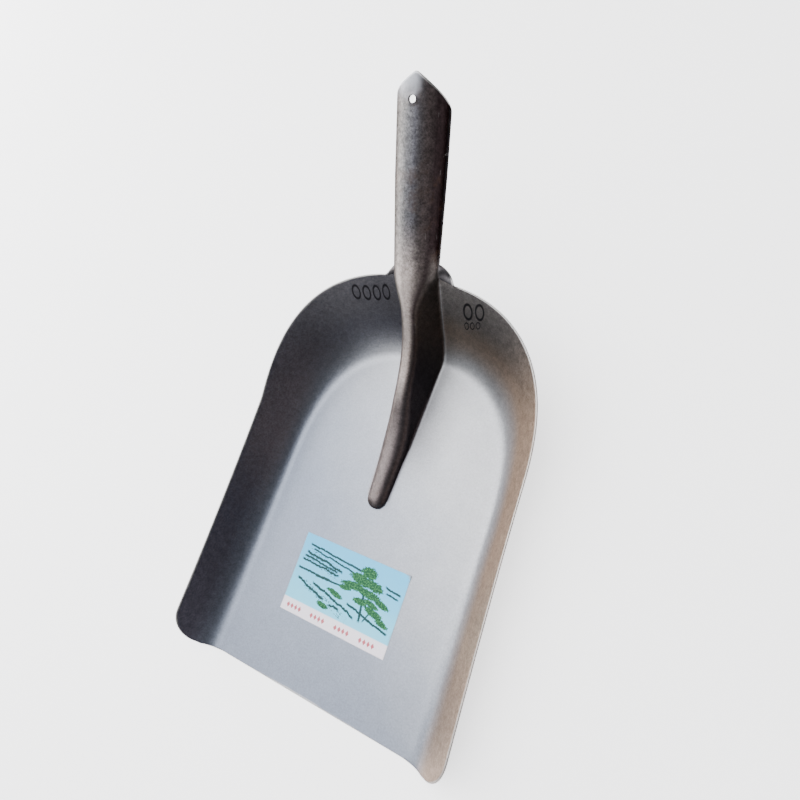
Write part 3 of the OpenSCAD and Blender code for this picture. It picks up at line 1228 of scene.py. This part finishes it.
    def pan_section(self, y: float) -> tuple[np.ndarray, np.ndarray]:
        """Make half a section through ridge and pan, from the crest outwards.

        Args:
            y: Where the section crosses the middle of the head.

        Returns:
            The points, and how far each belongs to the ridge, from 1 to 0.
        """
        nose = 1.0 if y < self.nose_y else float(clamp01(1 - (y - self.nose_y) / self.nose_half_w))
        arc, foot = self.ridge_arc(y, nose)
        side = arc[-1]
        rim = np.array(self.pan.rim_point(y, self.root_y, self.root_rim_x))
        outward = unit(rim - foot[:2])
        out = foot[:2] + self.flank_fillet * outward
        out3 = np.array([out[0], out[1], float(self.pan.height(out[0], out[1]))])
        drop = float(np.linalg.norm(foot - side))
        share = np.arange(1, self.fillet_n + 1)[:, None] / self.fillet_n
        if nose > 0:
            bend = mix(side, out3, share)
        else:
            start = foot + self.flank_fillet * (side - foot) / drop if drop > self.flank_fillet else side
            bend = (1 - share) ** 2 * start + 2 * share * (1 - share) * foot + share**2 * out3
        spread = 1 - (1 - np.arange(1, self.out_n + 1) / self.out_n) ** 1.25
        plan = mix(out, rim, spread[:, None])
        floor = np.column_stack([plan, self.pan.height(plan[:, 0], plan[:, 1])])
        ridge_share = np.zeros(self.half_n)
        if nose < 1:
            ridge_share[: self.arc_n] = clamp01((arc[:, 2] - 0.5) / 3) if nose > 0 else 1.0
            if nose == 0:
                ridge_share[self.arc_n : self.arc_n + self.fillet_n] = 1 - share[:, 0] ** 2
        return np.vstack([arc, bend, floor]), ridge_share

    def socket_r(self, s: float) -> float:
        """Inner radius of the socket at s along its axis."""
        return float(mix(self.root_half_w, self.bore_r, clamp01(s / self.straight_from)))

    def seam_angle(self, r: float) -> float:
        """How far round from the front the wall reaches at the back seam, in degrees."""
        return 180 - math.degrees(math.asin(self.seam_gap / 2 / r))

    def wall_reach(self, s: float) -> float:
        """How far round from the front the wall reaches at s, in degrees."""
        share = float(ease((s - self.neck_len) / (self.seam_from - self.neck_len)))
        return mix(self.neck_reach, self.seam_angle(self.socket_r(s)), share)

    def on_wall(self, s: Any, r: float, turn: Any) -> np.ndarray:
        """Give points on the socket's inner wall.

        Args:
            s: Distances along the axis.
            r: Radius.
            turn: Angles round from the front, in degrees.

        Returns:
            One point for each distance and angle.
        """
        s, turn = np.broadcast_arrays(np.asarray(s, float), np.radians(np.asarray(turn, float)))
        lift = self.pan.lift
        centre = self.axis_start + s[..., None] * self.along(lift)
        return centre + r * (np.sin(turn)[..., None] * ACROSS + np.cos(turn)[..., None] * self.out_of(lift))

    def socket_section(self, s: float, haste: float) -> np.ndarray:
        """Make half a section through the socket, from its front round to its seam.

        Args:
            s: Distance along the axis from the root.
            haste: How early the web narrows above the back rim.

        Returns:
            The points.
        """
        r = self.socket_r(s)
        lift = self.pan.lift
        f, n = self.along(lift), self.out_of(lift)
        round_arc = self.on_wall(s, r, np.linspace(0, 90, self.arc_n))
        arc = mix(self.root_arc + self.axis_start + s * f, round_arc, float(ease(s / self.neck_len)))
        climbed = float(clamp01(s / self.neck_len))
        narrowed = 1 - (1 - climbed) ** haste
        turned = climbed**self.neck_lag
        turn = (self.wall_reach(s) - 90) / self.strip_n
        step = 2 * r * math.sin(math.radians(turn / 2))
        size = np.linalg.norm(self.root_strip, axis=1)
        lean = self.root_strip @ f / size
        start = np.degrees(np.arctan2(self.root_strip @ n, self.root_strip[:, 0]))
        angle = np.radians(mix(start, -90 - turn * (np.arange(self.strip_n) + 0.5), turned))
        k = mix(lean, 0.0, turned)
        c = np.sqrt(1 - k * k)
        steps = np.outer(c * np.cos(angle), ACROSS) + np.outer(c * np.sin(angle), n) + np.outer(k, f)
        steps = steps * mix(size, step, narrowed)[:, None]
        return np.vstack([arc, arc[-1] + np.cumsum(steps, axis=0)])


def border(index: np.ndarray) -> np.ndarray:
    """Walk once round the outside of a grid of point numbers."""
    return np.concatenate([index[0, :-1], index[:-1, -1], index[-1, :0:-1], index[:0:-1, 0]])


class Shell:
    """A closed sheet that grows from the points of its two skins."""

    def __init__(self, under: np.ndarray, upper: np.ndarray, normals: np.ndarray) -> None:
        """Start with the two skins' points.

        Args:
            under: The underside's points, rows by columns by 3.
            upper: The upper side's points.
            normals: The sheet's normals.
        """
        self.offset = under.shape[0] * under.shape[1]
        self.index = np.arange(self.offset).reshape(under.shape[:2])
        self.normals = normals.reshape(-1, 3)
        self.points = [under.reshape(-1, 3), upper.reshape(-1, 3)]
        self.source = [self.index.ravel(), self.index.ravel()]
        self.faces: list[np.ndarray] = []

    def skin(self, row: int, column: int, half: int) -> None:
        """Cover both sides with faces, except round a hole.

        Args:
            row: The hole's middle row.
            column: The hole's middle column.
            half: Half the hole's size in cells.
        """
        index = self.index
        keep = np.ones((index.shape[0] - 1, index.shape[1] - 1), bool)
        keep[row - half : row + half, column - half : column + half] = False
        a, b = index[:-1, :-1][keep], index[1:, :-1][keep]
        c, d = index[1:, 1:][keep], index[:-1, 1:][keep]
        self.faces += [np.stack([a, b, c, d], axis=1), np.stack([a, d, c, b], axis=1) + self.offset]

    def round_edge(self, chain: np.ndarray, sign: int, bulge: float, steps: int) -> None:
        """Join the two skins along an edge with a rounded strip.

        Args:
            chain: The edge's point numbers in order.
            sign: 1 for the outer edge, -1 for a hole.
            bulge: How far the strip bulges, in millimetres.
            steps: Faces across the strip.
        """
        here, there = self.points[0][chain], self.points[1][chain]
        tangent = unit(np.roll(here, -1, axis=0) - np.roll(here, 1, axis=0))
        outward = unit(np.cross(tangent, self.normals[chain])) * sign
        previous = chain
        for k in range(1, steps + 1):
            current = chain + self.offset
            if k < steps:
                angle = math.pi * k / steps
                middle = mix(here, there, (1 - math.cos(angle)) / 2) + outward * bulge * math.sin(angle)
                current = sum(len(points) for points in self.points) + np.arange(len(chain))
                self.points.append(middle)
                self.source.append(chain)
            quads = np.stack([previous, np.roll(previous, -1), np.roll(current, -1), current], axis=1)
            self.faces.append(quads if sign > 0 else quads[:, ::-1])
            previous = current


@dataclass
class ScoopHead:
    """The steel head as one closed mesh with rounded sheet edges."""

    form: HeadForm = field(default_factory=HeadForm)
    finish: SpringSteel = field(default_factory=SpringSteel)
    corner_rows: int = 14
    front_rows: int = 40
    ridge_rows: int = 92
    neck_rows: int = 14
    curl_rows: int = 12
    straight_rows: int = 16
    gable_rows: int = 26
    edge_steps: int = 4
    hole_cells: int = 2
    moved_cells: int = 5
    ring_gap: float = 1.05
    burr_reach: float = 1.4
    hole_bulge: float = 0.2
    worn_reach: float = 12.0
    sharp_from: float = 50.0

    def rows(self) -> tuple[np.ndarray, dict[str, np.ndarray]]:
        """Make the whole grid of the sheet's underside.

        Returns:
            The points, rows by columns by 3, and the numbers stored at each point.
        """
        f = self.form
        pan = f.pan
        places = [pan.corner_y * (i / self.corner_rows) ** 1.7 for i in range(self.corner_rows + 1)]
        places += list(np.linspace(pan.corner_y, f.nose_y, self.front_rows + 2)[1:-1])
        places += [mix(f.nose_y, f.root_y, (i / self.ridge_rows) ** 1.15) for i in range(self.ridge_rows + 1)]
        halves, ridges = zip(*(f.pan_section(float(y)) for y in places))
        halves, ridges = list(halves), list(ridges)
        distances = [f.neck_len * (i / self.neck_rows) ** 1.2 for i in range(1, self.neck_rows + 1)]
        distances += list(np.linspace(f.neck_len, f.seam_from, self.curl_rows + 1)[1:])
        distances += list(np.linspace(f.seam_from, f.bore_end, self.straight_rows + 1)[1:-1])
        left_side = np.array([-1.0, 1.0, 1.0])
        left = [h * left_side for h in halves]
        left += [f.socket_section(float(s), f.left_haste) * left_side for s in distances]
        right = halves + [f.socket_section(float(s), f.neck_haste) for s in distances]
        reach = f.seam_angle(f.bore_r)
        behind = 90 + (reach - 90) * np.arange(1, f.strip_n + 1) / f.strip_n
        turns = np.concatenate([np.linspace(0, 90, f.arc_n), behind])
        for u in np.linspace(0, 1, self.gable_rows + 1):
            for side, sign in ((right, 1), (left, -1)):
                away = np.abs(turns * sign - f.peak_turn * u * (1 - ease(turns / 90)))
                rise = f.gable_drop * u * (1 - away / 180)
                side.append(f.on_wall(f.bore_end + rise, f.bore_r, turns * sign))
        grid = np.array([np.vstack([a[:0:-1], b]) for a, b in zip(left, right)])
        extra = len(grid) - len(ridges)
        ridge = np.array([np.concatenate([r[:0:-1], r]) for r in ridges])
        ridge = np.vstack([ridge, np.ones((extra, ridge.shape[1]))])
        up = (grid - f.axis_start) @ f.along(pan.lift) / f.socket_len
        is_socket = np.arange(len(grid))[:, None] >= len(ridges)
        wall = np.where(is_socket, 1.0, pan.level(grid[..., 0], grid[..., 1]))
        wall = np.where((ridge > 0.5) & ~is_socket, 0.0, wall)
        turn = np.tile(np.concatenate([-turns[:0:-1], turns]) / 180, (len(grid), 1))
        turn = np.where(is_socket, turn, np.clip(turn, -0.5, 0.5))
        stored = {"ridge": ridge, "wall": wall, "socket": np.where(is_socket, clamp01(up), 0.0), "turn": turn}
        return grid, stored

    def punch(self, grid: np.ndarray) -> tuple[int, int, np.ndarray]:
        """Open the screw hole: the nearest ring of points moves onto its edge.

        Args:
            grid: The underside's points, changed in place.

        Returns:
            The hole's middle row and column, and the burr's height at each point.
        """
        f = self.form
        lift = f.pan.lift
        s_hole = f.socket_len - f.hole_drop
        centre = f.on_wall(s_hole, f.bore_r, 0.0)
        column = f.half_n - 1
        row = int(np.argmin(np.linalg.norm(grid[:, column] - centre, axis=1)))
        burr = np.zeros(grid.shape[:2])
        cells = range(-self.moved_cells, self.moved_cells + 1)
        for i, j in itertools.product(cells, cells):
            ring = max(abs(i), abs(j))
            if ring < self.hole_cells:
                continue
            local = grid[row + i, column + j] - f.axis_start
            b = float(local @ f.along(lift)) - s_hole
            a = f.bore_r * math.atan2(local[0], float(local @ f.out_of(lift)))
            size = radius = math.hypot(a, b)
            if ring < self.moved_cells:
                share = (self.moved_cells - ring) / (self.moved_cells - self.hole_cells)
                radius = mix(size, f.hole_r + self.ring_gap * (ring - self.hole_cells), share**0.7)
            a, b = a * radius / size, b * radius / size
            grid[row + i, column + j] = f.on_wall(s_hole + b, f.bore_r, math.degrees(a / f.bore_r))
            burr[row + i, column + j] = f.burr_h * max(0.0, 1 - (radius - f.hole_r) / self.burr_reach) ** 2
        return row, column, burr

    def build(self) -> bpy.types.Object:
        """Make the head's mesh.

        Returns:
            The head.
        """
        f = self.form
        grid, stored = self.rows()
        normals = unit(np.cross(np.gradient(grid, axis=1), np.gradient(grid, axis=0)))
        row, column, burr = self.punch(grid)
        shell = Shell(grid, grid + (f.sheet_t + burr)[..., None] * normals, normals)
        half = self.hole_cells
        shell.skin(row, column, half)
        shell.round_edge(border(shell.index), 1, f.edge_bulge, self.edge_steps)
        around = shell.index[row - half : row + half + 1, column - half : column + half + 1]
        shell.round_edge(border(around), -1, self.hole_bulge, self.edge_steps)
        vertices = (np.vstack(shell.points) - np.array([0.0, f.pan.floor_len / 2, 0.0])) * MM
        low, high = (np.array(corner) for corner in CAD_BOX)
        head = mesh_object("scoop_head", np.clip(vertices, low, high), np.vstack(shell.faces))
        origin = np.concatenate(shell.source)
        stored["edge"] = clamp01(self.edge_distance(grid) / self.worn_reach)
        for name, values in stored.items():
            store(head, name, values.ravel()[origin])
        store(head, "face", (np.arange(len(origin)) >= shell.offset).astype(float))
        head.data.set_sharp_from_angle(angle=math.radians(self.sharp_from))
        return head

    @staticmethod
    def edge_distance(grid: np.ndarray) -> np.ndarray:
        """Measure how far each point is from the nearest edge of the sheet.

        Args:
            grid: The sheet's points.

        Returns:
            The distances in millimetres.
        """
        steps_c = np.linalg.norm(np.diff(grid, axis=1), axis=2)
        steps_r = np.linalg.norm(np.diff(grid, axis=0), axis=2)
        from_left = np.pad(np.cumsum(steps_c, axis=1), ((0, 0), (1, 0)))
        from_front = np.pad(np.cumsum(steps_r, axis=0), ((1, 0), (0, 0)))
        to_right = from_left[:, -1:] - from_left
        to_mouth = from_front[-1:] - from_front
        return np.minimum(np.minimum(from_left, to_right), np.minimum(from_front, to_mouth))

    def dress(self, head: bpy.types.Object) -> None:
        """Give the head its steel finish.

        Args:
            head: The head.
        """
        head.data.materials.append(self.finish.material())


@dataclass
class PaperLabel:
    """The paper label on the floor of the pan."""

    corner_lift: float = 0.9
    lift_reach: float = 9.0
    glue_t: float = 0.02
    points_x: int = 56
    points_y: int = 38
    sharp_from: float = 40.0
    finish: PrintedPaper = field(default_factory=PrintedPaper)

    def build(self) -> bpy.types.Object:
        """Make the label as a thin closed sheet whose far right corner has lifted a little.

        Returns:
            The label.
        """
        low, high = (np.array(corner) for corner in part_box("paper_label"))
        nx, ny = self.points_x, self.points_y
        xs, ys = np.linspace(low[0], high[0], nx), np.linspace(low[1], high[1], ny)
        x, y = np.meshgrid(xs, ys)
        gap = np.hypot(high[0] - x, high[1] - y) / MM
        raised = self.corner_lift * MM * clamp01(1 - gap / self.lift_reach) ** 2
        under = np.stack([x, y, low[2] + self.glue_t * MM + raised], axis=-1).reshape(-1, 3)
        upper = under + np.array([0, 0, high[2] - low[2]])
        index = np.arange(nx * ny).reshape(ny, nx)
        a, b, c, d = index[:-1, :-1], index[:-1, 1:], index[1:, 1:], index[1:, :-1]
        top = np.stack([a, b, c, d], axis=-1).reshape(-1, 4) + nx * ny
        bottom = np.stack([a, d, c, b], axis=-1).reshape(-1, 4)
        loop = border(index)
        nxt = np.roll(loop, -1)
        rim = np.stack([loop, nxt, nxt + nx * ny, loop + nx * ny], axis=1)
        label = mesh_object("printed_label", np.vstack([under, upper]), np.vstack([top, bottom, rim]))
        label.data.set_sharp_from_angle(angle=math.radians(self.sharp_from))
        return label

    def dress(self, label: bpy.types.Object) -> None:
        """Print the label.

        Args:
            label: The label.
        """
        low, high = (np.array(corner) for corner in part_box("paper_label"))
        label.data.materials.append(self.finish.material(low, high))


def mesh_object(name: str, vertices: np.ndarray, faces: np.ndarray) -> bpy.types.Object:
    """Make an object from points and four-sided faces.

    Args:
        name: The object's name.
        vertices: The points, in metres.
        faces: Four point numbers for each face.

    Returns:
        The object, linked to the scene and shaded smooth.
    """
    mesh = bpy.data.meshes.new(name)
    mesh.from_pydata(vertices.tolist(), [], faces.tolist())
    mesh.validate()
    mesh.update()
    mesh.shade_smooth()
    made = bpy.data.objects.new(name, mesh)
    bpy.context.scene.collection.objects.link(made)
    return made


def store(made: bpy.types.Object, name: str, values: np.ndarray) -> None:
    """Store one number at each point of a mesh.

    Args:
        made: The object.
        name: What the number is called.
        values: One value for each point.
    """
    layer = made.data.attributes.new(name, "FLOAT", "POINT")
    layer.data.foreach_set("value", values.astype(np.float32))


# ---------------------------------------------------------------------------
# Studio
# ---------------------------------------------------------------------------
@dataclass(frozen=True)
class Softbox:
    """One large soft light."""

    name: str
    place: tuple[float, float, float]
    target: tuple[float, float, float]
    size: tuple[float, float]
    watts: float
    colour: Colour = (1.0, 1.0, 1.0)

    def hang(self) -> None:
        """Hang the light and aim it."""
        data = bpy.data.lights.new(self.name, "AREA")
        data.shape = "RECTANGLE"
        data.size, data.size_y = self.size
        data.energy = self.watts
        data.color = self.colour
        lamp = bpy.data.objects.new(self.name, data)
        lamp.location = self.place
        aim = Vector(self.target) - Vector(self.place)
        lamp.rotation_euler = aim.to_track_quat("-Z", "Y").to_euler()
        bpy.context.scene.collection.objects.link(lamp)


@dataclass
class Studio:
    """Floor, lights and camera."""

    floor_half: float = 30.0
    eye: tuple[float, float, float] = (0.20006, 0.03361, 0.46441)
    look_at: tuple[float, float, float] = (-0.01384, 0.1181, 0.0)
    roll: float = -0.8784
    lens: float = 24.264
    ambient: float = 0.15
    air: Colour = (0.92, 0.95, 1.0)
    lights: tuple[Softbox, ...] = (
        Softbox("key_softbox", (-0.65, 0.25, 1.5), (0.0, 0.05, 0.0), (2.4, 2.6), 94.0),
        Softbox("left_strip", (-1.7, 0.35, 0.40), (0.0, 0.15, 0.1), (2.0, 0.8), 38.0),
        Softbox("front_fill", (-0.4, -1.5, 0.9), (0.0, 0.1, 0.0), (1.6, 0.8), 7.5),
    )

    def lay_floor(self) -> None:
        """Lay the pale floor under the scoop."""
        h = self.floor_half
        corners = np.array([[-h, -h, 0.0], [h, -h, 0.0], [h, h, 0.0], [-h, h, 0.0]])
        floor = mesh_object("studio_floor", corners, np.array([[0, 1, 2, 3]]))
        floor.data.materials.append(PaleFloor().material())

    def light(self) -> None:
        """Set the even ambient light and hang the softboxes."""
        world = bpy.data.worlds.new("studio_air")
        world.use_nodes = True
        back = world.node_tree.nodes["Background"]
        back.inputs["Color"].default_value = (*self.air, 1.0)
        back.inputs["Strength"].default_value = self.ambient
        bpy.context.scene.world = world
        for softbox in self.lights:
            softbox.hang()

    def stand_camera(self) -> None:
        """Stand the camera, aim it and roll it."""
        eye, target = Vector(self.eye), Vector(self.look_at)
        forward = (target - eye).normalized()
        level = forward.cross(Vector((0, 0, 1))).normalized()
        up = level.cross(forward)
        right = level * math.cos(self.roll) + up * math.sin(self.roll)
        top = right.cross(forward)
        data = bpy.data.cameras.new("studio_camera")
        data.lens = self.lens
        data.sensor_width = 36.0
        data.clip_start = 0.01
        camera = bpy.data.objects.new("studio_camera", data)
        rows = Matrix((right, top, -forward)).transposed().to_4x4()
        camera.matrix_world = Matrix.Translation(eye) @ rows
        bpy.context.scene.collection.objects.link(camera)
        bpy.context.scene.camera = camera


def main() -> None:
    """Build the head, the label and the studio."""
    logging.basicConfig(level=logging.INFO, format="%(name)s: %(message)s")
    studio = Studio()
    studio.stand_camera()
    studio.lay_floor()
    studio.light()
    head_maker = ScoopHead()
    head = head_maker.build()
    head_maker.dress(head)
    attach(head, Body.HEAD.value)
    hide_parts("shovel_head")
    LOG.info("%s: %d faces", head.name, len(head.data.polygons))
    label_maker = PaperLabel()
    label = label_maker.build()
    label_maker.dress(label)
    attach(label, Body.HEAD.value)
    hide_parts("paper_label")
    LOG.info("%s: %d faces", label.name, len(label.data.polygons))


if __name__ == "__main__":
    main()
